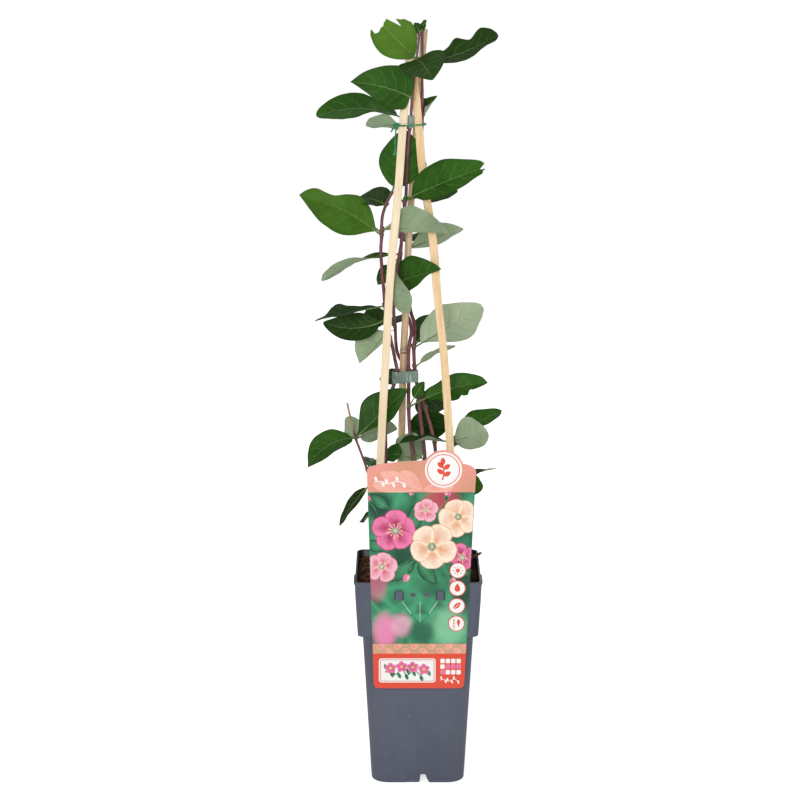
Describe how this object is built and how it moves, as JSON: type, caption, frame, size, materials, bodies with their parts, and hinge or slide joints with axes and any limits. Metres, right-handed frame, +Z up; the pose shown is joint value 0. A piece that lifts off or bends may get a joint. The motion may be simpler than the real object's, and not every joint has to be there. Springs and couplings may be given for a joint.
{
  "type": "honeysuckle vine",
  "caption": "Young climbing honeysuckle in a tall square nursery pot, trained up a slim pyramid of wooden splints and a bamboo cane, with a picture card on the pot's collar",
  "frame": {"origin": "centre of the pot's foot, on the surface that it stands on, under the middle of the pot", "axes": "+Z up; the front of the pot, with the label card, faces -Y; +X is to the right seen from the front"},
  "size_m": [0.1968, 0.1464, 0.7516],
  "materials": {
    "pot_plastic": "anthracite blue-grey moulded polypropylene, satin",
    "compost": "dark brown fibrous compost with bark",
    "splint_wood": "pale planed softwood, bare",
    "bamboo": "brown split-free bamboo, dull sheen",
    "twine": "green plastic-coated twine",
    "tape": "thin clear greenish tying tape",
    "card": "printed picture card of semi-gloss plastic",
    "bark": "rough dry bark",
    "leafy_stem": "fresh green leaf blades, satin above and pale matt below, on dark red-brown stems"
  },
  "bodies": {
    "root": {"pot": "pot_plastic", "soil": "compost", "stick_left": "splint_wood", "stick_right": "splint_wood", "bamboo_cane": "bamboo", "twine_tie": "twine", "tape_tie_upper": "tape", "tape_tie_lower": "tape", "label_card": "card", "bark_chip": "bark", "vine_stem_a": "leafy_stem", "vine_stem_b": "leafy_stem", "vine_stem_c": "leafy_stem", "vine_stem_d": "leafy_stem", "vine_stem_e": "leafy_stem", "vine_stem_f": "leafy_stem"}
  },
  "joints": []
}
